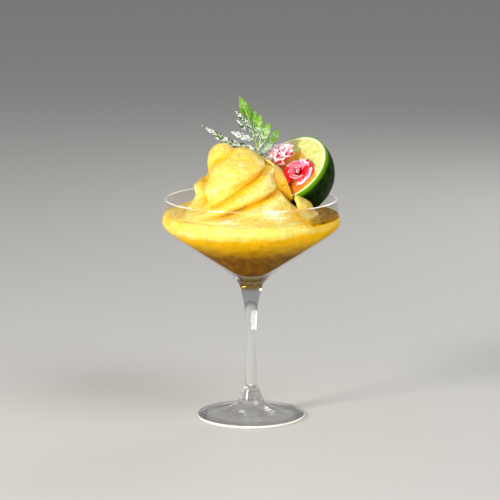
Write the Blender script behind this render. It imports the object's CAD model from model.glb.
# %% [markdown]
# # A frozen mango mocktail in a coupe glass
# The solids of the drink come in as a fixed frame, and this lesson dresses them. Each piece of food gets a
# finer mesh and a finish of its own, and the glass a smooth turned wall. Lengths are in millimetres until a
# mesh is made.

# %% The frame
import math

import bpy
import numpy as np
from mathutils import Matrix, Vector, noise


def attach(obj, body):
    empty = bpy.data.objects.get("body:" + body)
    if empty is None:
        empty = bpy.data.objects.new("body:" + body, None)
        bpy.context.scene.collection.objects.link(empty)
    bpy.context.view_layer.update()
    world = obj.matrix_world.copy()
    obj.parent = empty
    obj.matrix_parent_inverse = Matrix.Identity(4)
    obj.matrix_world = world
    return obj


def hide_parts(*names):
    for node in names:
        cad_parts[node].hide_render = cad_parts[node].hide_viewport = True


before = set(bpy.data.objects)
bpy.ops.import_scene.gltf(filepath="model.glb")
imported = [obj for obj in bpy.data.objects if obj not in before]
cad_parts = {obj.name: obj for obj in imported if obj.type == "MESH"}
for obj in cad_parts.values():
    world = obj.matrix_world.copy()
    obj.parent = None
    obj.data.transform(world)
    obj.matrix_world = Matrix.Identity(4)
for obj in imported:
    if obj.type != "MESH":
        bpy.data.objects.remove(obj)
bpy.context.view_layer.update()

MM = 0.001
TAU = 2 * math.pi
print("nodes:", sorted(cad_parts))

# %% [markdown]
# The camera stands where the photo was taken from: one and a half metres away and a little above the glass,
# with a long lens. Its height and tilt follow from how round the rim and the foot look.

# %% The camera
FRAME_PIXELS = 500
FOCAL_PIXELS = 2376
SENSOR = 36
CAMERA_PLACE = (-0.714, -1523.5, 391.1)
CAMERA_TILT = 10.41


def in_scene(name, data):
    made = bpy.data.objects.new(name, data)
    scene.collection.objects.link(made)
    return made


scene = bpy.context.scene
lens = bpy.data.cameras.new("camera")
lens.sensor_width = SENSOR
lens.lens = FOCAL_PIXELS / FRAME_PIXELS * SENSOR
lens.clip_start = 0.05
lens.clip_end = 60
camera = in_scene("camera", lens)
camera.location = Vector(CAMERA_PLACE) * MM
camera.rotation_euler = (math.radians(90 - CAMERA_TILT), 0, 0)
scene.camera = camera
scene.view_settings.view_transform = "Standard"
print("lens of", round(lens.lens, 1), "mm")

# %% [markdown]
# Two small classes carry the shader maths. A Wire is a socket that can be added, multiplied and so on, and
# a Finish is a material in the making. Every other node comes from Finish.node.


# %% Shader maths
def operator(operation):
    """The plain and the reflected form of one operator."""
    return (lambda wire, other: wire.math(operation, wire, other)), (
        lambda wire, other: wire.math(operation, other, wire)
    )


class Wire:
    """An output socket of a finish. Arithmetic on it adds Math nodes."""

    __add__, __radd__ = operator("ADD")
    __sub__, __rsub__ = operator("SUBTRACT")
    __mul__, __rmul__ = operator("MULTIPLY")
    __pow__, __rpow__ = operator("POWER")

    def __init__(self, finish, socket):
        self.finish = finish
        self.socket = socket

    def math(self, operation, *values, **settings):
        return self.finish.node("Math", {"operation": operation, **settings}, dict(enumerate(values)))

    def sine(self):
        return self.math("SINE", self)

    def held(self):
        """The value kept between 0 and 1."""
        return self.math("ADD", self, 0, use_clamp=True)

    def step(self, low, high):
        """0 at low, 1 at high, and a soft S between them."""
        inputs = {"Value": self, "From Min": low, "From Max": high}
        return self.finish.node("MapRange", {"interpolation_type": "SMOOTHSTEP"}, inputs)


class Finish:
    """A material in the making."""

    def __init__(self, name):
        self.material = bpy.data.materials.new(name)
        self.material.use_nodes = True
        self.tree = self.material.node_tree
        self.tree.nodes.clear()

    def node(self, kind, settings=None, inputs=None, output=0):
        made = self.tree.nodes.new("ShaderNode" + kind)
        for key, value in (settings or {}).items():
            setattr(made, key, value)
        for key, value in (inputs or {}).items():
            if isinstance(value, Wire):
                self.tree.links.new(value.socket, made.inputs[key])
            else:
                made.inputs[key].default_value = value
        return Wire(self, made.outputs[output]) if len(made.outputs) else made

    def place(self):
        """Where the point is in the piece's own space, in metres."""
        return self.node("TexCoord", output="Object")

    def axes(self):
        apart = self.node("SeparateXYZ", inputs={0: self.place()})
        return [Wire(self, socket) for socket in apart.socket.node.outputs]

    def vector(self, x, y, z):
        return self.node("CombineXYZ", inputs={0: x, 1: y, 2: z})

    def mark(self, name):
        """A number that was stored at each point of the mesh."""
        return self.node("Attribute", {"attribute_name": name}, output="Fac")

    def cloud(self, size_mm, detail=2, rough=0.5, warp=0, place=None):
        """Soft noise from 0 to 1 with blots of about that size."""
        settings = {"Detail": detail, "Roughness": rough, "Distortion": warp}
        return self.node("TexNoise", inputs=self.scaled(size_mm, place) | settings)

    def cells(self, size_mm, feature="F1", place=None):
        return self.node("TexVoronoi", {"feature": feature}, self.scaled(size_mm, place))

    def scaled(self, size_mm, place):
        return {"Vector": place or self.place(), "Scale": 1 / (size_mm * MM)}

    def mix(self, share, first, second):
        """The first colour where share is 0 and the second where it is 1."""
        return self.node("Mix", {"data_type": "RGBA"}, {0: share, 6: first, 7: second}, output=2)

    def bump(self, height, depth_mm, strength=1):
        inputs = {"Strength": strength, "Distance": depth_mm * MM, "Height": height}
        return self.node("Bump", inputs=inputs, output="Normal")

    def done(self, **inputs):
        """Ends the finish in a Principled shader. Underscores stand for spaces."""
        named = {key.replace("_", " "): value for key, value in inputs.items()}
        shader = self.node("BsdfPrincipled", inputs=named)
        self.node("OutputMaterial", inputs={"Surface": shader})
        print(self.material.name, "of", len(self.tree.nodes), "nodes")
        return self.material


def rgb(*screen):
    """A screen colour from 0 to 255, as the shader wants it."""
    shares = [value / 255 for value in screen]
    linear = [share / 12.92 if share <= 0.04045 else ((share + 0.055) / 1.055) ** 2.4 for share in shares]
    return (*linear, 1)


# %% [markdown]
# A mesh comes from rows of points, which may close round and end in a pole, or be a thin leaf with two
# faces. Numbers that a finish reads, such as how deep in a fold a point lies, are stored on the mesh.


# %% Meshes
def quads(rows, columns, around=True):
    """Faces between neighbouring rows of points, counted row by row."""
    last = columns if around else columns - 1
    j, i = np.meshgrid(np.arange(rows - 1), np.arange(last), indexing="ij")
    k = (i + 1) % columns
    faces = np.stack([j * columns + i, (j + 1) * columns + i, (j + 1) * columns + k, j * columns + k], -1)
    return faces.reshape(-1, 4)


def piece(name, points, faces, finish, marks=None, node=None):
    """Makes an object from points in millimetres, which rides on the one body."""
    mesh = bpy.data.meshes.new(name)
    mesh.from_pydata((np.asarray(points, float) * MM).tolist(), [], [list(map(int, f)) for f in faces])
    mesh.validate()
    mesh.polygons.foreach_set("use_smooth", [True] * len(mesh.polygons))
    for mark, values in (marks or {}).items():
        layer = mesh.attributes.new(mark, "FLOAT", "POINT")
        layer.data.foreach_set("value", np.asarray(values, np.float32).ravel())
    mesh.materials.append(finish)
    made = in_scene(name, mesh)
    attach(made, "root")
    if node:
        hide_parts(node)
    print(name, len(mesh.polygons), "faces")
    return made


def spline(pairs, steps):
    """A smooth line through points, the same curve as the solids' profiles."""
    knots = np.asarray(pairs, float)
    last = len(knots) - 1
    place = np.linspace(0, last, steps + 1)
    i = np.minimum(place.astype(int), last - 1)
    t = (place - i)[:, None]
    before, here = knots[np.maximum(i - 1, 0)], knots[i]
    after, beyond = knots[i + 1], knots[np.minimum(i + 2, last)]
    out, into = (after - before) / 2, (beyond - here) / 2
    cubic = 2 * here - 2 * after + out + into
    square = -3 * here + 3 * after - 2 * out - into
    return cubic * t**3 + square * t**2 + out * t + here


def turned(profile, sides):
    """A profile of [radius, height] pairs turned about Z. Points and faces."""
    profile = np.asarray(profile, float)
    angle = np.arange(sides) * TAU / sides
    radius, height = profile[:, :1], profile[:, 1:]
    points = np.stack([radius * np.cos(angle), radius * np.sin(angle), height + 0 * angle], -1)
    faces = quads(len(profile), sides)[:, ::-1]
    return points.reshape(-1, 3), faces


# %% [markdown]
# ## The glass
# A coupe is blown, and its stem is pulled out of the bowl while the glass is soft, so foot, stem and bowl
# are one piece. It could be a modifier on a curve, but turned rows of points keep the curve of the solids.
# The rim is fire polished to a round bead.

# %% The glass's profile
RIM_HEIGHT = 145.6
RIM_RADIUS = 56.1
BELLY_RADIUS = 58.6
BELLY_HEIGHT = 130.6
FOOT_RADIUS = 35.5
STEM_RADIUS = 3.2
BOWL_FLOOR = 94
WALL = 1.2
GLASS_SIDES = 128

FOOT_TOP = [(FOOT_RADIUS, 1), (FOOT_RADIUS - 1, 2.1), (27, 3.2), (18, 4.7), (12.6, 6.6), (9.2, 9.6)]
STEM = [
    (9.2, 9.6), (7.2, 13.6), (4.9, 19.5), (4.1, 25), (3.4, 40), (STEM_RADIUS, 52), (3.5, 62), (4.5, 74),
    (6, 82), (8.2, 89), (13.3, 95),
]
BOWL_OUTSIDE = [
    (13.3, 95), (24.2, 103), (36.3, 111), (48.4, 119), (54.5, 123.3), (57.6, 127),
    (BELLY_RADIUS, BELLY_HEIGHT), (57.7, 135.5), (RIM_RADIUS, RIM_HEIGHT - 0.6),
]
BOWL_INSIDE = [
    (RIM_RADIUS - WALL, RIM_HEIGHT - 0.6), (56.4, 135.5), (BELLY_RADIUS - WALL, BELLY_HEIGHT),
    (56.1, 127.2), (52.4, 123.8), (46.2, 119.4), (33.9, 111.2), (21.6, 103.1), (13, 97.6), (7, 94.9),
    (0.02, BOWL_FLOOR),
]
UNDERSIDE = [
    (0.02, 1.8), (8, 1.7), (16, 1.2), (24, 0.45), (29, 0), (FOOT_RADIUS - 1.2, 0), (FOOT_RADIUS - 0.3, 0.3),
]
lip_turn, half_wall = np.linspace(0, math.pi, 9)[1:-1], WALL / 2
rim_bead = np.stack([np.cos(lip_turn), np.sin(lip_turn)], -1) * half_wall
rim_bead += (RIM_RADIUS - half_wall, RIM_HEIGHT - half_wall)
upward = [UNDERSIDE, spline(FOOT_TOP, 110), spline(STEM, 50)[1:], spline(BOWL_OUTSIDE, 48)[1:]]
glass_profile = np.concatenate([*upward, rim_bead, spline(BOWL_INSIDE, 60)])
print("profile of", len(glass_profile), "points")

# %% [markdown]
# Clear glass has no pattern to paint, only the faint waviness of blown glass, a very weak bump. Light goes
# nearly straight through the thin bowl, so there it is mostly see-through, while the stem bends the light
# fully. The solid lump under the bowl gathers the colour of the drink, so it is tinted. The foot keeps
# faint rings from the turning.

# %% Clear glass
clear = Finish("Clear blown glass")
waviness = clear.bump(clear.cloud(30, detail=1), 0.25, 0.25)
height = clear.axes()[2]
stem_part = 1 - height.step(0.088, 0.098)
foot_part = 1 - height.step(0.004, 0.007)
glow = height.step(0.083, 0.088) * (1 - height.step(0.094, 0.098))
clear_glass = clear.done(
    Base_Color=clear.mix(glow, (0.985, 0.995, 0.99, 1), rgb(206, 158, 44)), Roughness=0, IOR=1.5,
    Alpha=(0.15 + 0.85 * stem_part - 0.45 * foot_part).held(), Transmission_Weight=1, Normal=waviness,
)
glass_points, glass_faces = turned(glass_profile, GLASS_SIDES)
reach = np.hypot(glass_points[:, 0], glass_points[:, 1])
upper_foot = (glass_points[:, 2] > 2.2) & (glass_points[:, 2] < 6.5)
RING_HEIGHT, RINGS_AT, RINGS_WIDE, RING_RATE = 0.14, 18, 6, 2.4
rings = np.exp(-(((reach - RINGS_AT) / RINGS_WIDE) ** 2)) * RING_HEIGHT * np.sin(reach * RING_RATE)
glass_points[:, 2] += np.where(upper_foot, rings, 0)
coupe = piece("coupe_glass", glass_points, glass_faces, clear_glass, node="glass")

# %% [markdown]
# The melted lip and the edge of the foot gather light from all round and look like thin white lines, so
# those faces of the mesh get a whiter finish. In front the lip picks up the colour of the mango, and at the
# right it glows faintly, where it catches light from beside the lime.

# %% The bright rim
bead = Finish("Fire polished rim")
x, y, height = bead.axes()
in_front = (1 - y.step(-0.045, -0.02)) * height.step(0.01, 0.02)
picked_up = bead.cloud(13).step(0.47, 0.56) * in_front
bead_finish = bead.done(
    Base_Color=bead.mix(picked_up * 0.85, rgb(255, 251, 240), rgb(226, 170, 62)), Roughness=0.12,
    IOR=1.5, Transmission_Weight=0.1, Coat_Weight=0.6, Coat_Roughness=0.03,
    Emission_Color=bead.mix(x.step(0.036, 0.05), (0, 0, 0, 1), rgb(255, 250, 240)), Emission_Strength=0.3,
)
coupe.data.materials.append(bead_finish)
LIP, FOOT_TOP_END, FOOT_EDGE = RIM_HEIGHT - 0.75, 3.9, FOOT_RADIUS - 0.6
for face in coupe.data.polygons:
    height, reach = face.center.z / MM, face.center.xy.length / MM
    face.material_index = int(height > LIP or (height < FOOT_TOP_END and reach > FOOT_EDGE))
print(sum(face.material_index for face in coupe.data.polygons), "faces in the rim")

# %% [markdown]
# ## The mango puree
# Frozen mango blended smooth is opaque, wet and a little grainy: pale yellow where it is airy, amber where
# it is dense or deep in a fold. One function gives the finish for every piece of it, so they match where
# they meet. The share of amber comes from soft clouds and from the marks on the mesh.


# %% Mango finish
PALE_MANGO = rgb(254, 234, 134)
MANGO = rgb(251, 208, 78)
AMBER_MANGO = rgb(253, 193, 6)
OLIVE_MANGO = rgb(112, 67, 0)


def soft(weight, radius, scale_mm):
    """The sockets for light that goes some way into a soft surface."""
    return {"Subsurface_Weight": weight, "Subsurface_Radius": radius, "Subsurface_Scale": scale_mm * MM}


def mango_finish(name, deep, pale, coat=0.1, shine=0.7, strands=None):
    """The puree's finish. deep, pale and strands are functions that return wires."""
    finish = Finish(name)
    patches = finish.cloud(14, detail=3, warp=0.6)
    grains = finish.cloud(0.9, detail=3, rough=0.65)
    lines = strands(finish) if strands else finish.cloud(4, detail=3)
    streak = (lines - 0.5) * 2.4 + (finish.cloud(1.6) - 0.5) * 0.9
    body = finish.mix((patches.step(0.35, 0.7) * 0.5 + pale(finish) + streak * 0.5).held(), MANGO, PALE_MANGO)
    share = deep(finish) + grains.step(0.6, 0.8) * 0.14 - streak * 0.35
    colour = finish.mix(share.held(), body, AMBER_MANGO)
    colour = finish.mix((share - 1).held(), colour, OLIVE_MANGO)
    airy = finish.cloud(10, warp=0.5).step(0.48, 0.62)
    bubbles = finish.cells(0.95).step(0.05, 0.5)
    fine = grains * (0.5 + 0.5 * airy) + bubbles * airy * 0.7
    relief = lines * 1.5 + fine + finish.cloud(3.2) * 0.6
    wet = finish.cloud(1.7).step(0.48, 0.66)
    return finish.done(
        Base_Color=colour, Roughness=0.46 - 0.34 * wet, IOR=1.38, Specular_IOR_Level=shine,
        Coat_Weight=coat, Coat_Roughness=0.16, Normal=finish.bump(relief, 0.6, 0.9),
        **soft(0.18, (1, 0.7, 0.15), 2),
    )


# %% [markdown]
# The puree fills the glass up to its level, and reaches just into the wall, so that no air shows between
# the two. It is spooned in, so its top has low folds and climbs a little at the wall and at the swirl.


# %% The drink
def lumps(points, size, octaves=2):
    """Soft noise at each point, about -1 to 1, with lumps of that size."""
    return np.array([noise.fractal(Vector(p) / size, 0.8, 2, octaves) for p in points])


LEVEL = 135
INTO_WALL = 0.35
SWIRL_FOOT = np.array([-4, -3])
SWIRL_FOOT_RADIUS = 48
SHORE_RADIUS = 56.4

wall_line = spline(BOWL_INSIDE, 60)
wall_line = wall_line[wall_line[:, 1] < LEVEL - 0.4][::-1] + (INTO_WALL, 0)
wall_line[0] = (0.02, BOWL_FLOOR + 0.2)
top_line = np.stack([np.linspace(SHORE_RADIUS, 0.02, 60), np.full(60, LEVEL)], -1)
outline = [wall_line, [(SHORE_RADIUS + INTO_WALL, LEVEL)], top_line]
drink_points, drink_faces = turned(np.concatenate(outline), 160)
on_top = drink_points[:, 2] > LEVEL - 0.01
from_axis = np.hypot(drink_points[:, 0], drink_points[:, 1])
from_foot = np.hypot(*(drink_points[:, :2] - SWIRL_FOOT).T) - SWIRL_FOOT_RADIUS
fold = np.sin(from_foot * 0.8 + 2.6 * lumps(drink_points, 16)) * 0.5
from_wall = SHORE_RADIUS - from_axis
climb = 1.3 * np.exp(-np.maximum(from_foot, 0) / 2) + 0.3 * np.exp(-from_wall.clip(0) / 0.8)
inside_wall = (from_wall + 0.2).clip(0, 1)
drink_points[:, 2] += np.where(on_top, (fold + climb) * inside_wall, 0)


def drink_deep(finish):
    x, y, height = finish.axes()
    layers = finish.vector(x, y, height * 3)
    wave = (finish.cloud(16, detail=3, warp=0.5, place=layers) - 0.5) * 0.008
    amber = 1 - (height + wave - x * 0.055).step(0.1262, 0.1288)
    olive = 1 - (height + wave * 0.4 - x * 0.02).step(0.1085, 0.1275)
    surface = height.step(0.133, 0.1345)
    dapple = (finish.cloud(3) - 0.5) * 0.024
    behind_lime = (x + wave * 2 + dapple).step(0.024, 0.044) * surface
    left = x.step(-0.02, -0.04) * height.step(0.1285, 0.1305)
    return amber * 0.95 + olive + behind_lime * 1.8 + left * 0.35


def drink_pale(finish):
    x, y, height = finish.axes()
    wave = (finish.cloud(12) - 0.5) * 0.006
    return (height + wave - x * 0.05).step(0.1275, 0.1315) * 0.45 - x.step(0.02, 0.05) * 0.5


drink_finish = mango_finish("Mango puree in the glass", drink_deep, drink_pale, coat=0, shine=0)
piece("mango_drink", drink_points, drink_faces, drink_finish, node="drink")

# %% [markdown]
# ## The swirl
# More puree is piped on from a wide nozzle, turned as it is let down, and pulled off to a curled crown. It
# could be sculpted by hand, but named curves keep the folds of the solid. The body is a bell from its crown
# (s = 0) to its foot (s = 1), and valleys are pressed in along the curves.

# %% The swirl's body and valleys
BODY_HEIGHT = [(0, 41), (0.12, 40.2), (0.3, 35.5), (0.5, 27.5), (0.7, 17.5), (0.88, 6.8), (1, 1.4)]
BODY_RADIUS = [(0, 0), (0.12, 9), (0.3, 19), (0.5, 25.5), (0.7, 32), (0.88, 41), (1, 48)]
BODY_X = [(0, -11), (0.12, -11), (0.3, -8.5), (0.5, -6.5), (0.7, -5.6), (0.88, -5), (1, -4)]
BODY_Y = [(0, 2), (0.3, 0), (0.6, -2), (1, -3)]

# [s, angle, depth as a share of the radius, reach to either side in degrees]
VALLEYS = {
    "under_front": [
        (0.22, 16, 0, 36), (0.34, -14, 0.2, 36), (0.46, -48, 0.27, 36), (0.54, -66, 0.26, 36),
        (0.6, -80, 0.24, 35), (0.7, -99, 0.2, 33), (0.8, -118, 0.16, 30), (0.95, -138, 0, 26),
    ],
    "beside_front": [
        (0.03, -90, 0, 60), (0.11, -96, 0.22, 50), (0.22, -128, 0.22, 42), (0.4, -158, 0.16, 38),
        (0.53, -164, 0.14, 33), (0.7, -152, 0.13, 24), (0.8, -140, 0.12, 20),
    ],
    "under_band": [
        (0.56, -12, 0, 24), (0.66, -28, 0.16, 30), (0.75, -58, 0.2, 34), (0.83, -86, 0.18, 31),
        (0.92, -110, 0.14, 27), (1, -128, 0.02, 22),
    ],
    "shaded_side": [
        (0.3, 4, 0, 24), (0.41, -4, 0.2, 27), (0.55, -16, 0.27, 29), (0.64, -21, 0.29, 30),
        (0.74, -20, 0.3, 30), (0.84, -17, 0.22, 28), (0.95, -12, 0.02, 20),
    ],
    "by_lime": [(0.4, 48, 0, 30), (0.6, 34, 0.12, 29), (0.8, 20, 0.2, 27), (0.98, 8, 0.04, 24)],
    "left_high": [
        (0.27, -236, 0, 40), (0.405, -210, 0.17, 72), (0.53, -184, 0.29, 72), (0.67, -160, 0.1, 26),
    ],
    "left_low": [
        (0.61, -244, 0, 36), (0.76, -212, 0.2, 44), (0.88, -186, 0.21, 50), (0.96, -164, 0.12, 32),
        (1, -150, 0, 20),
    ],
    "back_left": [(0.08, -215, 0.1, 40), (0.4, -240, 0.24, 38), (0.7, -256, 0.2, 34), (1, -272, 0.04, 30)],
    "back_right": [(0.08, -262, 0.1, 40), (0.4, -286, 0.24, 36), (0.7, -302, 0.2, 30), (1, -320, 0.04, 26)],
}
# How far a valley leans under the fold on its clockwise side
LEANS = {"under_front": 0.3, "under_band": 0.3, "shaded_side": -0.25}
# [s, angle, reach along s, reach round, swell in millimetres]
SWELLINGS = [
    (0.18, 180, 0.145, 85, 2.1), (0.615, -182, 0.165, 70, 0.75), (0.785, -182, 0.117, 75, -4.4),
    (0.42, -70, 0.3, 85, 1.8), (0.84, 2, 0.17, 26, 2.6), (0.51, 4, 0.17, 30, 1.3),
    (0.965, -112, 0.05, 26, 1.6), (0.68, 6, 0.12, 24, 2.4), (0.52, -34, 0.13, 24, -3),
]
# [x, y, lift, reach]
KNOBS = [(-19.4, 0, 6.3, 10.7), (-5.5, -3, 3.4, 12)]
print(len(VALLEYS), "valleys")


# %% The swirl's surface
def eased(knots, s):
    """The value at s of a curve through [s, value] knots that never overshoots them."""
    x, y = np.asarray(knots, float).T
    slope = np.diff(y) / np.diff(x)
    before, after = slope[:-1], slope[1:]
    total = np.where(before + after == 0, 1, before + after)
    inner = np.where(before * after <= 0, 0, 2 * before * after / total)
    tangent = np.concatenate([[slope[0]], inner, [slope[-1]]])
    s = np.clip(s, x[0], x[-1])
    i = np.clip(np.searchsorted(x, s, side="right") - 1, 0, len(x) - 2)
    step = x[i + 1] - x[i]
    t = (s - x[i]) / step
    rise = t * t * (3 - 2 * t)
    start = t * (1 - t) ** 2 * step * tangent[i]
    end = t * t * (t - 1) * step * tangent[i + 1]
    return y[i] * (1 - rise) + y[i + 1] * rise + start + end


def unit(vectors):
    return vectors / np.linalg.norm(vectors, axis=-1, keepdims=True)


def apart(angle, other):
    """The signed way from one angle to another, in degrees."""
    return (angle - other + 180) % 360 - 180


def pressed(s, angle):
    """How far the valleys are pressed in, as a share of the radius."""
    total = np.zeros_like(s)
    for name, knots in VALLEYS.items():
        rows = np.asarray(knots, float)
        centre, depth, reach = (eased(rows[:, (0, k)], s) for k in (1, 2, 3))
        side = apart(angle, centre)
        lean = LEANS.get(name, 0)
        outside = np.clip(np.abs(side) / (reach * np.where(side < 0, 1 + lean, 1 - lean)), 0, 1)
        fade = np.clip((rows[-1, 0] + 0.05 - s) / 0.05, 0, 1) * (s >= rows[0, 0])
        here = (1 - outside) ** 1.8 * depth * fade
        total = np.maximum(total, here) + 0.35 * np.minimum(total, here)
    return total


def swirl_points(s, angle):
    """Points of the swirl's skin in millimetres, and how deep in a fold each one lies."""
    deep = pressed(s, angle)
    radius = eased(BODY_RADIUS, s) * (1 - deep)
    for at, facing, along, around, swell in SWELLINGS:
        square = ((s - at) / along) ** 2 + (apart(angle, facing) / around) ** 2
        radius = radius + swell * np.maximum(0, 1 - square) ** 2
    turn = np.radians(angle)
    x = eased(BODY_X, s) + radius * np.cos(turn)
    y = eased(BODY_Y, s) + radius * np.sin(turn)
    lifts = [
        lift * np.maximum(0, 1 - ((x - at_x) ** 2 + (y - at_y) ** 2) / reach**2)
        for at_x, at_y, lift, reach in KNOBS
    ]
    z = LEVEL + eased(BODY_HEIGHT, s) + np.maximum(*lifts)
    return np.stack([x, y, z], -1), deep


# How far the folds and the fine strands in the puree have turned at s, in degrees
GRAIN = [(0, 40), (0.3, 4), (0.5, -52), (0.7, -106), (0.8, -132), (0.9, -154), (1, -172)]


def hollows(points, normals, rows=8, columns=6):
    """How hollow a closed grid is at each point, in millimetres. Ridges are negative."""
    padded = np.pad(points, ((rows, rows), (0, 0), (0, 0)), mode="edge")
    nearby = padded[: -2 * rows] + padded[2 * rows :]
    nearby = nearby + np.roll(points, columns, 1) + np.roll(points, -columns, 1)
    return ((nearby / 4 - points) * normals).sum(-1)


SWIRL_ROWS, SWIRL_COLUMNS = 210, 360
row_s, column_angle = np.meshgrid(
    np.linspace(0.004, 1, SWIRL_ROWS), np.arange(SWIRL_COLUMNS) * 360 / SWIRL_COLUMNS, indexing="ij"
)
skin, depth_in_fold = swirl_points(row_s, column_angle)
outward = unit(np.cross(np.gradient(skin, axis=0), np.roll(skin, -1, 1) - np.roll(skin, 1, 1)))
flat = skin.reshape(-1, 3)
hollow = hollows(skin, outward)
ripple = 0.28 * lumps(flat, 9) + 0.07 * lumps(flat + 50, 2.2)
skin = skin + outward * ripple.reshape(row_s.shape)[..., None]
hem = skin[-1:].copy()
hem[..., 2] = LEVEL - 2
skin = np.concatenate([skin, hem])
print("swirl is", round(float(skin[..., 2].max() - LEVEL), 1), "mm high")

# %% [markdown]
# Light goes some way into the puree, so the valleys look amber and the backs pale. The mark "fold" tells
# how deep in a valley a point lies, "hollow" how the skin bends there, and "shade" marks the dense streak
# toward the lime. Two patches of thicker puree are placed by hand.


# %% The swirl's finish
DENSE_BY_LIME = (0.031, -0.033)
DENSE_LOW_FRONT = (-0.0133, 0.1454)
SHADE_WIDE, SHADE_AT, SHADE_LONG = 11, 0.5, 0.2


def away(x, y, at_x, at_y):
    """How far a point is from a place, seen along one axis."""
    return ((x - at_x) * (x - at_x) + (y - at_y) * (y - at_y)) ** 0.5


def swirl_deep(finish):
    x, y, height = finish.axes()
    dense = (1 - away(x, y, *DENSE_BY_LIME).step(0.003, 0.008)) * 0.9
    in_front = 1 - y.step(-0.034, -0.03)
    dense = dense + (1 - away(x, height, *DENSE_LOW_FRONT).step(0.003, 0.014)) * in_front * 0.5
    crease = finish.mark("hollow").step(0, 0.45) * finish.mark("down").step(0.12, 0.3) * 0.5
    return finish.mark("fold").step(0.01, 0.17) * 0.75 + crease + finish.mark("shade") * 0.95 + dense


def swirl_pale(finish):
    ridge = finish.mark("hollow").step(-0.15, -0.55)
    return finish.cloud(22).step(0.4, 0.65) * 0.3 + ridge * 0.6


def swirl_strands(finish):
    """Noise on a long drawn-out cylinder, so its blots are strands along the folds."""
    along = finish.vector(finish.mark("strand_x"), finish.mark("strand_y"), finish.mark("down") * 0.5)
    return finish.cloud(1 / (11 * MM), detail=4, rough=0.65, place=along)


shade_line = eased(np.asarray(VALLEYS["shaded_side"])[:, (0, 1)], row_s) + 6
in_shade = np.exp(-((apart(column_angle, shade_line) / SHADE_WIDE) ** 2))
in_shade = in_shade * np.exp(-(((row_s - SHADE_AT) / SHADE_LONG) ** 2))
with_grain = np.radians(column_angle - eased(GRAIN, row_s))
swirl_marks = {"fold": depth_in_fold, "hollow": hollow, "shade": in_shade, "down": row_s}
swirl_marks |= {"strand_x": np.cos(with_grain), "strand_y": np.sin(with_grain)}
swirl_marks = {name: np.concatenate([values, values[-1:]]) for name, values in swirl_marks.items()}
swirl_faces = [tuple(range(SWIRL_COLUMNS))] + quads(SWIRL_ROWS + 1, SWIRL_COLUMNS).tolist()
swirl_finish = mango_finish("Mango puree piped", swirl_deep, swirl_pale, strands=swirl_strands)
piece("mango_swirl", skin.reshape(-1, 3), swirl_faces, swirl_finish, swirl_marks, node="swirl")

# %% [markdown]
# Two thin folds of puree stand beside the lime: a small one against the rind, and a broad one against the
# cut face, from the swirl's shoulder down to its skirt. Each is a leaf between a free edge and a root in
# the swirl. Two curves say it all, so one function makes both.


# %% The folds by the lime
FOLD_EDGE = [
    (27.6, -18, 147.6), (29, -16.6, 150.4), (33.2, -13.6, 148.1), (37.4, -9.2, 145.4), (39.5, -5.6, 142),
]
FOLD_ROOT = [(29.5, -21, 139), (31.5, -20, 138.5), (34.4, -17.5, 138), (37, -13.5, 137.2), (38.6, -9, 136.2)]
LOBE_EDGE = [
    (7.1, 1, 172.3), (11.6, 1.5, 170.2), (15.5, 1, 167.8), (19.4, -1, 164.7), (22.2, -5, 160.1),
    (24.4, -10.5, 155.1), (26, -15, 151.5),
]
# [s, angle] on the swirl
LOBE_FOOT = [(0.3, -8), (0.38, -9), (0.48, -13), (0.57, -18), (0.66, -21), (0.76, -21), (0.84, -18)]
BULGE = 2.2
THIN, THICK = 0.35, 1.3


def fold_piece(name, edge, root, deep, rows=16, columns=28):
    """A standing fold. Its rows go up one face and down the other."""
    edge_line, root_line = spline(edge, columns - 1), spline(root, columns - 1)
    v = np.linspace(0, 1, rows)[:, None, None]
    belly = np.array([0.45, -0.85, 0.1]) * BULGE * np.sin(math.pi * v) ** 0.8
    middle = root_line * (1 - v) + edge_line * v + belly
    half = (THICK * (1 - v) + THIN) * np.sqrt(np.maximum(1 - v**6, 0.02)) * np.array([0.5, -0.8, 0.3])
    half = half * np.sin(np.linspace(0.06, 1, columns) * math.pi * 0.94)[None, :, None] ** 0.4
    points = np.concatenate([middle + half, (middle - half)[::-1]])
    ends = np.arange(len(points)) * columns
    faces = quads(len(points), columns, around=False).tolist()
    faces += [ends[::-1].tolist(), (ends + columns - 1).tolist()]
    finish = mango_finish(name.replace("_", " "), deep, lambda finish: finish.cloud(6) * 0.3)
    return piece(name, points.reshape(-1, 3), faces, finish)


fold_piece("mango_fold", FOLD_EDGE, FOLD_ROOT, lambda finish: finish.axes()[2].step(0.144, 0.138) * 0.6)
lobe_root = swirl_points(*np.transpose(LOBE_FOOT))[0]
fold_piece("mango_lobe", LOBE_EDGE, lobe_root, lambda finish: finish.axes()[2].step(0.166, 0.151) * 1.1 + 0.1)

# %% [markdown]
# ## The lime
# Half a lime lies on its rind behind the swirl. It is made in its own space, cut face up, and then laid.
# The rind is turned and has pores. Pith, segments and juice sacs are drawn on a disc by shader maths, from
# the angle and the way from the middle, which is easier than cutting them.

# %% The lime's place
LIME_RADIUS = 27.3
LIME_WIDEST = 5
LIME_TIP = 27
LIME_CENTRE = Vector((25, 7.5, 163.8))
LIME_FACING = Vector((-0.477, -0.522, 0.703)).normalized()
UP = Vector((0, 0, 1))
LIME_TURN = UP.rotation_difference(LIME_FACING)
FACE_RADIUS = LIME_RADIUS * math.sqrt(1 - (LIME_WIDEST / LIME_TIP) ** 2)
FLESH_RADIUS = FACE_RADIUS - 1.9


def lay(made, turn, centre):
    made.rotation_mode = "QUATERNION"
    made.rotation_quaternion = turn
    made.location = Vector(centre) * MM


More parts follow.
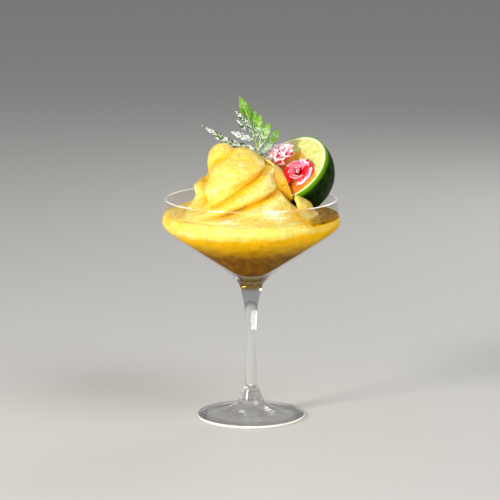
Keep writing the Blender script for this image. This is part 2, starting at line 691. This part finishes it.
NIPPLE_HEIGHT, NIPPLE_REACH = 1.4, 0.16
turn = np.linspace(0.004, 1, 60) * (math.pi / 2 + math.asin(LIME_WIDEST / LIME_TIP))
nipple = NIPPLE_HEIGHT * np.exp(-((turn / NIPPLE_REACH) ** 2))
rind_line = np.stack([LIME_RADIUS * np.sin(turn), -LIME_WIDEST - (LIME_TIP + nipple) * np.cos(turn)], -1)
zest_edge = [(FACE_RADIUS - 0.25, 0.12), (FACE_RADIUS - 0.7, 0)]
rind_points, rind_faces = turned(np.concatenate([rind_line, zest_edge]), 128)
rind_points += 0.12 * lumps(rind_points, 7)[:, None] * (rind_points / LIME_RADIUS)
print("cut face of radius", round(FACE_RADIUS, 1), "mm")

# %% [markdown]
# The rind is dark green with small pores, its oil glands, which cells give well. A lighter band shows where
# the peel was cut.

# %% Rind
rind = Finish("Lime rind")
x, y, z = rind.axes()
pores = rind.cells(1.15)
near_cut = z.step(-0.0042, 0)
mottled = rind.mix(rind.cloud(6, detail=3).step(0.35, 0.7), rgb(6, 18, 1), rgb(24, 52, 4))
lighter = rind.mix(near_cut * 0.9, mottled, rgb(112, 168, 8))
rind_finish = rind.done(
    Base_Color=rind.mix(pores.step(0, 0.3) * 0.4 + 0.6, rgb(88, 128, 30), lighter),
    Roughness=0.42, Specular_IOR_Level=0.04, Normal=rind.bump(pores.step(0, 0.45), 0.28, 0.6),
)
lay(piece("lime_rind", rind_points, rind_faces, rind_finish, node="lime"), LIME_TURN, LIME_CENTRE)

# %% [markdown]
# The flesh is pale and glassy. Each segment is a bundle of long juice sacs that point to the middle, held
# by a thin white skin. The sacs are cells stretched outward. Juice of the red blossom has stained the flesh
# orange.

# %% The lime's face
# Where juice has stained the flesh, how far it reaches in millimetres, and its colour
STAINS = [
    ((34, -9.5, 157.8), 12, rgb(242, 142, 8)), ((29.5, 11, 172), 6.5, rgb(214, 162, 40)),
    ((18, 15, 166.5), 11, rgb(240, 120, 20)), ((27, -8.5, 153.5), 10, rgb(236, 122, 20)),
]
SEGMENTS = 10
across_face = np.linspace(0, 1, 70)
radius = np.concatenate([[0.05], across_face[1:] * (FACE_RADIUS - 0.6)])
inside_flesh = np.clip((FLESH_RADIUS - radius) / 1.2, 0, 1)
face_height = np.where(radius < FLESH_RADIUS, -0.15 + 0.35 * inside_flesh, 0.02)
face_points, face_faces = turned(np.stack([radius, face_height], -1)[::-1], 160)
face_radius = np.hypot(face_points[:, 0], face_points[:, 1])
face_angle = np.arctan2(face_points[:, 1], face_points[:, 0])
ridge = 1 - np.clip(np.abs(np.sin(face_angle * SEGMENTS / 2)) * face_radius / 1.1, 0, 1)
in_flesh = (face_radius < FLESH_RADIUS) * np.clip(face_radius / 4, 0, 1)
face_points[:, 2] += in_flesh * (0.22 * ridge + 0.12 * lumps(face_points, 1.6))

flesh = Finish("Lime flesh")
x, y, z = flesh.axes()
from_middle = (x * x + y * y) ** 0.5
angle = y.math("ARCTAN2", y, x)
wobble = flesh.cloud(7) - 0.5
skins = (angle * (SEGMENTS / 2) + wobble * 0.5).sine()
skin_gap = skins.math("ABSOLUTE", skins) * from_middle
membrane = 1 - skin_gap.step(0.0004, 0.0016)
heart = 1 - from_middle.step(0.0012, 0.0034)
rim_skin = from_middle.step((FLESH_RADIUS - 0.7) * MM, (FLESH_RADIUS + 0.1) * MM)
white = (membrane * 0.3 + heart * 0.6 + rim_skin).held()
polar = flesh.vector(from_middle, angle * 0.014, 0)
sacs = flesh.cells(2, feature="SMOOTH_F1", place=polar)
streaks = flesh.cloud(1.5, detail=3, place=polar)
juicy = flesh.mix(sacs.step(0.1, 0.75), rgb(208, 208, 110), rgb(232, 230, 158))
mottle = flesh.cloud(0.8).step(0.5, 0.7)
juicy = flesh.mix((streaks.step(0.45, 0.75) * 0.3 + mottle * 0.35).held(), juicy, rgb(184, 182, 70))
pith = flesh.mix(flesh.cloud(2).step(0.3, 0.7), rgb(250, 252, 222), rgb(238, 244, 190))
zest = from_middle.step((FACE_RADIUS - 1.1) * MM, (FACE_RADIUS - 0.5) * MM)
clean = flesh.mix(zest, flesh.mix(white, juicy, pith), rgb(196, 226, 40))
ragged = (flesh.cloud(5, detail=3) - 0.5) * 0.008
for place, reach, colour in STAINS:
    spot = (LIME_TURN.inverted() @ (Vector(place) - LIME_CENTRE)) * MM
    stain = 1 - (away(x, y, spot.x, spot.y) + ragged).step(reach * 0.6 * MM, reach * MM)
    clean = flesh.mix(stain * (1 - rim_skin * 0.85) * 0.92, clean, colour)
flesh_finish = flesh.done(
    Base_Color=clean, Roughness=0.2 + 0.3 * white, IOR=1.38, Coat_Weight=0.3, Coat_Roughness=0.1,
    Normal=flesh.bump(sacs * 0.7 + streaks * 0.3, 0.5, 0.6), **soft(0.3, (0.8, 1, 0.3), 3),
)
lay(piece("lime_face", face_points, face_faces, flesh_finish), LIME_TURN, LIME_CENTRE)

# %% [markdown]
# ## The blossoms
# Both are real flowers: a tight red one whose petals wind round each other, and a ruffled white one that is
# red inside. One formula draws a thin cupped petal, and each row of numbers below is one petal.

# %% Petals
PETAL_THICKNESS = 0.45
PETAL_COLUMNS, PETAL_ROWS = 22, 14
ROSE_PLACE, BLOSSOM_PLACE = (30.4, -3, 161.4), (18.8, 12.5, 173)
ROSE_FACING = Vector((-0.34, -0.72, 0.6)).normalized()
BLOSSOM_FACING = Vector((-0.361, -0.44, 0.82)).normalized()

# [turn, span, foot radius, lip radius, height, curl out, ruffle]
ROSE_PETALS = [
    (60, 330, 0.5, 0.9, 5.6, 0.1, 0), (20, 170, 1.2, 2.2, 6.4, 0.2, 0), (200, 170, 1.5, 3, 6.8, 0.4, 0.1),
    (100, 150, 2, 4.2, 6.6, 0.8, 0.2), (250, 140, 2.1, 4.6, 6.4, 0.9, 0.2),
    (318, 130, 2.3, 6.4, 5.9, 1.2, 0.2), (172, 104, 2.5, 7.4, 5.4, 1.9, 0.3),
    (80, 100, 2.5, 7.2, 5.4, 1.9, 0.4), (42, 56, 2.6, 8, 5.6, 2, 0.5), (312, 110, 2.6, 7.6, 5.2, 2.1, 0.3),
    (8, 76, 2.6, 9.6, 4, 1.6, 0.4),
]
BLOSSOM_PETALS = [
    (30, 110, 1.2, 3, 5.4, 0.8, 0.6), (150, 110, 1.4, 3.6, 5.2, 0.9, 0.6), (270, 110, 1.6, 4.2, 5, 1, 0.7),
    (60, 100, 1.8, 5.6, 4.6, 1.4, 0.9), (200, 100, 1.8, 5.8, 4.6, 1.4, 0.9),
    (320, 100, 1.8, 5.8, 4.4, 1.4, 0.9), (0, 90, 2, 7.6, 3.8, 1.8, 0.9), (90, 90, 2, 7.6, 3.6, 1.8, 1),
    (180, 90, 2, 8.2, 3.6, 1.9, 1), (270, 90, 2, 7.4, 3.4, 1.7, 0.9), (235, 70, 2.2, 8.2, 2.2, 1.4, 0.5),
    (300, 70, 2.2, 7.8, 2, 1.2, 0.5), (262, 34, 2.4, 9.4, 0.6, 1.2, 0.3),
]
# How pink each petal of the rose is, and how red each petal of the blossom is
ROSE_TINTS = (0.1, 0.6, 0.4, 0.42, 0.34, 0, 0, 0.4, 1.2, 0.9, 0)
BLOSSOM_TINTS = (*[0] * 9, 1.1, 1.6, 1.6, 0.2)


def leaf_faces(columns, rows):
    """Faces of a thin leaf: the upper grid, the lower grid and the edges."""
    upper = quads(rows, columns, around=False)
    lower = upper[:, ::-1] + rows * columns
    grid = np.arange(rows * columns).reshape(rows, columns)
    ring = np.concatenate([grid[0], grid[1:, -1], grid[-1, -2::-1], grid[-2:0:-1, 0]])
    following = np.roll(ring, -1)
    sides = np.stack([ring, following, following + rows * columns, ring + rows * columns], -1)
    return np.concatenate([upper, lower, sides])


def petal_points(petal):
    """Both faces of one petal, with marks for the way up it and for its inner face."""
    turn, span, foot, lip, height, curl, ruffle = petal
    grid = np.linspace(0, 1, PETAL_ROWS), np.linspace(-1, 1, PETAL_COLUMNS)
    v, across = np.meshgrid(*grid, indexing="ij")
    angle = np.radians(turn + across * span * (0.75 + 0.25 * v) / 2)
    wave = ruffle * np.sin(across * 9) * v * v
    frill = ruffle * 0.35 * np.sin(across * 23 + turn) * v**4
    opened = foot + (lip - foot) * v**1.5 + curl * v**4 + wave + frill + across * 0.5
    rise = height * (1 - (1 - v) ** 1.7) * (1 - 0.14 * across**2) - curl * 0.7 * v**4
    points, inner = [], []
    for side in (-1, 1):
        reach = opened + side * PETAL_THICKNESS / 2
        points.append(np.stack([reach * np.cos(angle), reach * np.sin(angle), rise - 1.2 - side * 0.15], -1))
        inner.append(np.full(v.size, float(side < 0)))
    return np.concatenate(points).reshape(-1, 3), np.tile(v.ravel(), 2), np.concatenate(inner)


def flower(petals, tints):
    """All petals as points, faces and marks. A tint is a petal's share of the second colour."""
    points, ups, inner = (np.concatenate(parts) for parts in zip(*map(petal_points, petals)))
    one, in_petal = leaf_faces(PETAL_COLUMNS, PETAL_ROWS), 2 * PETAL_COLUMNS * PETAL_ROWS
    faces = np.concatenate([one + k * in_petal for k in range(len(petals))])
    return points, faces, {"up": ups, "inner": inner, "tint": np.repeat(np.array(tints, float), in_petal)}


print("petal of", len(leaf_faces(PETAL_COLUMNS, PETAL_ROWS)), "faces")

# %% [markdown]
# Petals are velvety and let some light through. The colour runs up each one, and its tint shifts it toward
# pink or red, so no two look quite the same.


# %% Petal finishes
def petal_finish(name, colour):
    finish = Finish(name)
    veins = finish.cloud(1.2, detail=3)
    marks = [finish.mark(mark) for mark in ("up", "inner", "tint")]
    return finish.done(
        Base_Color=colour(finish, *marks, veins), Roughness=0.36, Specular_IOR_Level=0.3,
        Normal=finish.bump(veins, 0.12, 0.5), **soft(0.1, (1, 0.35, 0.35), 2),
    )


def rose_colour(finish, up, inner, tint, veins):
    crimson = finish.mix(inner, rgb(196, 0, 10), rgb(232, 0, 22))
    pink = finish.mix((up + (veins - 0.5) * 0.4).step(0.3, 0.9), rgb(232, 36, 84), rgb(248, 140, 176))
    edge = ((up + (veins - 0.5) * 0.7).step(0.86, 1.02) * (0.05 + 0.8 * tint)).held()
    return finish.mix(edge, finish.mix(tint.held(), crimson, pink), rgb(255, 232, 236))


def blossom_colour(finish, up, inner, tint, veins):
    lines = finish.cloud(2.2, detail=3, warp=0.8)
    blush = lines.step(0.5, 0.56) * (1 - lines.step(0.6, 0.66))
    white = finish.mix(blush * 0.9, rgb(255, 246, 250), rgb(232, 40, 92))
    reach = 0.22 + 0.6 * tint
    throat = 1 - ((up + (veins - 0.5) * 0.3) - reach).step(-0.12, 0.14)
    return finish.mix(throat, white, rgb(236, 22, 44))


def lay_flower(name, petals, tints, finish, facing, place):
    points, faces, marks = flower(petals, tints)
    made = piece(name + "_petals", points, faces, finish, marks, name)
    lay(made, UP.rotation_difference(facing), place)


red_petals = petal_finish("Red and pink petals", rose_colour)
white_petals = petal_finish("White and red petals", blossom_colour)
lay_flower("rose", ROSE_PETALS, ROSE_TINTS, red_petals, ROSE_FACING, ROSE_PLACE)
lay_flower("blossom", BLOSSOM_PETALS, BLOSSOM_TINTS, white_petals, BLOSSOM_FACING, BLOSSOM_PLACE)

# %% [markdown]
# ## The fern
# A fern tip stands behind the swirl. A thin stalk carries toothed blades, and the left ones are seen edge
# on. Each blade is a thin leaf along a smooth path, with a midrib, teeth and a gentle wave.

# %% Fern blades
STALK = [
    (9.5, 10.5, 163), (6.1, 10, 171.2), (4.4, 10, 176.6), (2.9, 10, 181.6), (1.2, 10, 188), (-1.8, 9, 195.9),
]
# [root, middle, tip, half width, teeth on a side, lean toward the sky, how far along it is widest]
BLADES = {
    "top": [(0.9, 10, 188.5), (-3.4, 7.5, 201), (-7.8, 5, 211.6), 3.6, 5, 0.25, 0.85],
    "right_1": [(0.9, 9.8, 188.4), (2.2, 8.4, 196), (2.8, 7.6, 202.6), 1.7, 3, 0.2, 0.85],
    "right_2": [(2.8, 9.6, 182.2), (4.9, 8.2, 191.2), (5.7, 7, 199.4), 2.6, 4, 0.2, 1.3],
    "right_3": [(5, 9.4, 177), (8.9, 8, 186.2), (12.2, 7, 193.8), 2.6, 4, 0.2, 1.3],
    "right_4": [(6.1, 10, 171.6), (13.7, 11.2, 182.2), (17.6, 12, 189.1), 2.6, 5, 0.2, 1.3],
    "left_1": [(0.3, 9.4, 190.2), (-5.2, 5.4, 196.2), (-10.1, 3.4, 202), 2.3, 4, 0.5, 1],
    "left_2": [(0.8, 9.4, 188.4), (-4.6, 4.4, 191.2), (-9.3, 2, 196.4), 2.4, 4, 0.5, 1],
    "left_3": [(2, 9.4, 182.4), (-5.6, 5.4, 185), (-13.3, 3.2, 188.4), 2.6, 5, 0.5, 1.1],
    "low_left": [(3.6, 10.2, 176.2), (-14, 11.6, 180), (-32.6, 9.6, 192.2), 2.7, 8, 0.5, 1.1],
}
LEAF_THICKNESS = 0.4
BLADE_COLUMNS, BLADE_ROWS = 13, 64


def blade_points(blade):
    """Both faces of one fern blade, with marks for the way along it and across it."""
    root, middle, tip, half, teeth, lean, belly = blade
    path = spline([root, middle, tip], BLADE_ROWS - 1)
    forward = unit(np.gradient(path, axis=0))
    face = np.array([0, -math.cos(lean * math.pi / 2), math.sin(lean * math.pi / 2)])
    across = unit(np.cross(forward, face))
    up = np.cross(across, forward)
    v, u = np.meshgrid(np.linspace(0, 1, BLADE_ROWS), np.linspace(-1, 1, BLADE_COLUMNS), indexing="ij")
    outline = np.sin(math.pi * (v * 0.9 + 0.1) ** belly) * (1.15 - 0.45 * v * v) + 0.05 * (1 - v)
    saw = (v * teeth) % 1
    tooth = 1.12 - (0.32 if lean < 0.5 else 0.6) * saw**1.5
    wide = half * np.maximum(0.05, outline) * tooth * u
    ahead = np.abs(u) * half * 0.35 * np.maximum(0.05, outline)
    wave = 0.16 * np.abs(wide) + 0.25 * np.sin(v * 9 + u + 1) + 0.12 * np.sin(v * teeth * TAU) * np.abs(u)
    middle_line = path[:, None] + across[:, None] * wide[..., None] + forward[:, None] * ahead[..., None]
    rib = 0.25 * np.exp(-((wide / 0.3) ** 2)) * (1 - v)
    faces = []
    for side in (1, -1):
        raised = rib if side < 0 else -0.4 * rib
        lift = wave + side * (LEAF_THICKNESS / 2 * (1 - 0.6 * np.abs(u)) + raised)
        faces.append(middle_line + up[:, None] * lift[..., None])
    return np.stack(faces).reshape(-1, 3), np.tile(v.ravel(), 2), np.tile(np.abs(u).ravel(), 2)


def tube(path, thick, thin, sides=12):
    """A round stalk along points, thinner toward its end."""
    forward = unit(np.gradient(path, axis=0))
    across = unit(np.cross(forward, np.array([0, 1, 0])))
    other = np.cross(forward, across)
    angle = np.arange(sides) * TAU / sides
    radius = np.linspace(thick, thin, len(path))[:, None, None]
    ring = across[:, None] * np.cos(angle)[:, None] + other[:, None] * np.sin(angle)[:, None]
    points = (path[:, None] + radius * ring).reshape(-1, 3)
    ends = [tuple(range(sides))[::-1], tuple(range(len(points) - sides, len(points)))]
    return points, quads(len(path), sides)[:, ::-1].tolist() + ends


# How wet each blade is. The others are soaked.
WET = {"top": 0.1, "right_1": 0.3, "right_2": 0.45, "right_3": 0.45, "right_4": 0.35, "low_left": 0.75}
VEINS_PER_MM = 4.2
fern_points, fern_faces, marks_of_parts = [], [], []
count = 0
for name, blade in BLADES.items():
    points, along, across = blade_points(blade)
    dry_tip = 1 - along if name.startswith("right") else 1
    veins = VEINS_PER_MM * np.linalg.norm(np.subtract(blade[0], blade[2]))
    marks_of_parts.append([along, across, WET.get(name, 1) * dry_tip, veins])
    fern_faces += (leaf_faces(BLADE_COLUMNS, BLADE_ROWS) + count).tolist()
    fern_points.append(points)
    count += len(points)
stalk_points, stalk_faces = tube(spline(STALK, 40), 0.95, 0.5)
fern_points.append(stalk_points)
fern_faces += [tuple(np.array(face) + count) for face in stalk_faces]
marks_of_parts.append([0.3, 0, 0.4, 60])
fern_marks = {
    name: np.concatenate([value * np.ones(len(points)) for value, points in zip(values, fern_points)])
    for name, values in zip(("along", "across", "wet", "veins"), zip(*marks_of_parts))
}
print(len(BLADES), "blades")

# %% [markdown]
# The leaf is waxy and wet, dark near the stalk and bright toward the tips, where light shines through.
# Water lies between its veins in white glints on the left blades, and as a soft gloss on the others.

# %% Fern finish
leaf = Finish("Fern leaf")
along, across, wet = leaf.mark("along"), leaf.mark("across"), leaf.mark("wet")
fresh = (along + (leaf.cloud(5) - 0.5) * 0.5).step(0.15, 0.85)
green = leaf.mix(fresh, rgb(34, 92, 4), rgb(118, 176, 0))
vein_phase = along * leaf.mark("veins") - across * 9
side_veins = vein_phase.sine().step(0.6, 1)
rib = 1 - across.step(0.03, 0.14)
pale = (rib * 0.7 + side_veins * 0.25 * (1 - fresh * 0.5)).held()
height = leaf.axes()[2]
between = leaf.vector(vein_phase * 0.00016, across * 0.0007, height * 0.35)
streak = leaf.cloud(1, detail=1.5, place=between)
soaked = wet.step(0.46, 0.56)
glint = (streak + wet * 0.08).step(0.565, 0.595) * soaked
gloss = streak.step(0.42, 0.62) * wet * 1.5 * (1 - soaked)
green = leaf.mix(soaked * 0.8, green, rgb(6, 44, 2))
green = leaf.mix((vein_phase + 2.2).sine().step(0, 1) * 0.5, green, rgb(16, 74, 2))
green = leaf.mix(pale, green, rgb(168, 200, 70))
fern_finish = leaf.done(
    Base_Color=leaf.mix((glint + gloss).held(), green, rgb(250, 255, 246)),
    Roughness=0.4 - 0.3 * glint, IOR=1.45, Specular_IOR_Level=0.2, Coat_Weight=0.04,
    Coat_Roughness=0.12, Normal=leaf.bump(side_veins, 0.15, 0.6), **soft(0.15, (0.4, 1, 0.1), 1.5),
)
piece("fern_sprig", np.concatenate(fern_points), fern_faces, fern_finish, fern_marks, node="fern")

# %% [markdown]
# ## Froth, specks and drops
# Blending whips air into the puree, which gathers in patches of froth. Specks of spice lie in it, and water
# stands on the fern and the petals. Each kind is one mesh of small balls, half sunk in the surface and
# placed by a seeded random generator.


# %% Small balls
rng = np.random.default_rng(7)


def scatter(name, places, ways, smallest, largest, finish, slot, squash=0.8, rings=5):
    """Balls of random sizes in one mesh, each squashed along its own way up."""
    angle = np.linspace(0, math.pi, rings + 1)
    one, faces = turned(np.stack([np.maximum(np.sin(angle), 0.01), -np.cos(angle)], -1), rings * 2)
    points, kept = [], []
    for k, radius in enumerate(rng.uniform(smallest, largest, len(places))):
        turn = np.array(UP.rotation_difference(Vector(ways[k])).to_matrix())
        points.append(places[k] + radius * (one * (1, 1, squash)) @ turn.T)
        kept.append(faces + k * len(one))
    return piece(name, np.concatenate(points), np.concatenate(kept), finish)


def on_swirl(s, angle):
    """Points on the dressed swirl, and the way out of it there."""
    j = np.clip(np.round(s * (SWIRL_ROWS - 1)).astype(int), 0, SWIRL_ROWS - 1)
    i = np.round(angle).astype(int) % SWIRL_COLUMNS
    return skin[j, i], outward[j, i]


# %% Froth
bubble = Finish("Froth bubbles")
bubble_finish = bubble.done(
    Base_Color=bubble.mix(bubble.cloud(2), rgb(255, 254, 238), rgb(255, 246, 190)), Roughness=0.12,
    Coat_Weight=0.5, Coat_Roughness=0.05, **soft(0.2, (1, 0.8, 0.3), 1),
)
many = 220
row = rng.normal(0.9, 0.042, many).clip(0.78, 0.99)
on_fold = on_swirl(row, -63 + (row - 0.885) * 30 + rng.normal(0, 4.5, many))
scatter("froth_on_fold", *on_fold, 0.2, 0.52, bubble_finish, "swirl")
many = 70
on_skirt = on_swirl(rng.normal(0.965, 0.018, many).clip(0.9, 1), rng.normal(-101, 3.5, many))
scatter("froth_on_skirt", *on_skirt, 0.22, 0.5, bubble_finish, "swirl")
# Three small patches higher up, as [s, angle]
PATCHES = np.array([(0.67, -129), (0.46, -104), (0.3, -84)])
many = 110
patch_row, patch_angle = PATCHES[rng.integers(0, 3, many)].T
row = patch_row + rng.normal(0, 0.02, many)
high_up = on_swirl(row, patch_angle + rng.normal(0, 5, many))
scatter("froth_on_folds_high", *high_up, 0.12, 0.32, bubble_finish, "swirl")
turn = np.radians(rng.normal(-104, 4.5, many))
reach = 55.6 - np.abs(rng.normal(0, 3.2, many))
places = np.stack([reach * np.cos(turn), reach * np.sin(turn), np.full(many, LEVEL + 0.5)], -1)
scatter("froth_by_wall", places, [(0, 0, 1)] * many, 0.25, 0.65, bubble_finish, "drink", 0.7)

# %% Specks of spice
speck = Finish("Dark specks")
speck_colour = speck.mix(speck.cloud(1), rgb(140, 46, 0), rgb(190, 88, 8))
speck_finish = speck.done(Base_Color=speck_colour, Roughness=0.5)
many = 190
all_over = on_swirl(rng.uniform(0.04, 0.97, many) ** 0.8, rng.uniform(-200, 60, many))
scatter("specks_on_swirl", *all_over, 0.14, 0.36, speck_finish, "swirl", 0.4, 4)
many = 60
height = rng.uniform(116, 133, many)
turn = np.radians(rng.uniform(-170, -10, many))
reach = np.interp(height, wall_line[:, 1], wall_line[:, 0])
places = np.stack([reach * np.cos(turn), reach * np.sin(turn), height], -1)
ways = np.stack([np.cos(turn), np.sin(turn), 0 * turn - 0.8], -1)
scatter("specks_in_drink", places, ways, 0.15, 0.34, speck_finish, "drink", 0.4, 4)

# %% Water drops
water = Finish("Water drops")
drop_colour = water.mix(water.cloud(1), rgb(255, 255, 255), rgb(214, 238, 214))
water_finish = water.done(Base_Color=drop_colour, Roughness=0.05, Coat_Weight=0.6)
DROPS_ON_BLADE = 26
places = []
for name, points in zip(BLADES, fern_points):
    if "left" in name:
        rows = rng.integers(3, BLADE_ROWS - 3, DROPS_ON_BLADE)
        columns = rng.integers(1, BLADE_COLUMNS - 1, DROPS_ON_BLADE)
        places.append(points[rows * BLADE_COLUMNS + columns])
places = np.concatenate(places)
scatter("drops_on_fern", places, [(0, -0.7, 0.7)] * len(places), 0.18, 0.42, water_finish, "fern", 0.7)
many = 16
points, _, marks = flower(ROSE_PETALS, ROSE_TINTS)
chosen = rng.integers(0, len(points) // 2, many * 12)
places = points[chosen][marks["up"][chosen] > 0.9][:many]
drops = scatter("drops_on_rose", places, [(0, 0, 1)] * len(places), 0.22, 0.4, water_finish, "rose")
lay(drops, UP.rotation_difference(ROSE_FACING), ROSE_PLACE)

# %% [markdown]
# ## The stage
# A pale floor and soft lamps, like a small product studio. The strongest hangs at the upper left in front,
# because the photo's swirl is lit from there. A low one lights the bowl's underside, and fans out narrowly
# to keep the floor calm.

# %% Floor and light
floor_mesh = bpy.data.meshes.new("floor")
FLOOR_CORNERS = [(-9, -9, 0), (9, -9, 0), (9, 9, 0), (-9, 9, 0)]
floor_mesh.from_pydata(FLOOR_CORNERS, [], [(0, 1, 2, 3)])
floor = in_scene("floor", floor_mesh)
paint = Finish("Pale floor")
floor_mesh.materials.append(paint.done(Base_Color=rgb(206, 204, 200), Roughness=0.7))


def lamp(name, place, aim, side, power, colour=(1, 1, 1), spread=180):
    """A soft square lamp with its power in watts. spread is how wide its light fans out."""
    light = bpy.data.lights.new(name, "AREA")
    light.size = side * MM
    light.energy = power
    light.color = colour
    light.spread = math.radians(spread)
    made = in_scene(name, light)
    lay(made, (Vector(aim) - Vector(place)).to_track_quat("-Z", "Y"), place)
    made.visible_camera = False


AIM = (0, 0, 140)
lamp("key_lamp", (-1000, -800, 660), AIM, 360, 16, (1, 0.97, 0.9))
lamp("low_lamp", (-150, -800, 50), (0, 0, 120), 350, 0.66, spread=60)
lamp("fill_lamp", (900, -800, 1300), AIM, 900, 12)
lamp("back_lamp", (600, 900, 800), AIM, 500, 4)
world = bpy.data.worlds.new("studio")
scene.world = world
world.use_nodes = True
background = world.node_tree.nodes["Background"]
background.inputs["Color"].default_value = (0.95, 0.97, 1, 1)
background.inputs["Strength"].default_value = 0.28
print("stage set")
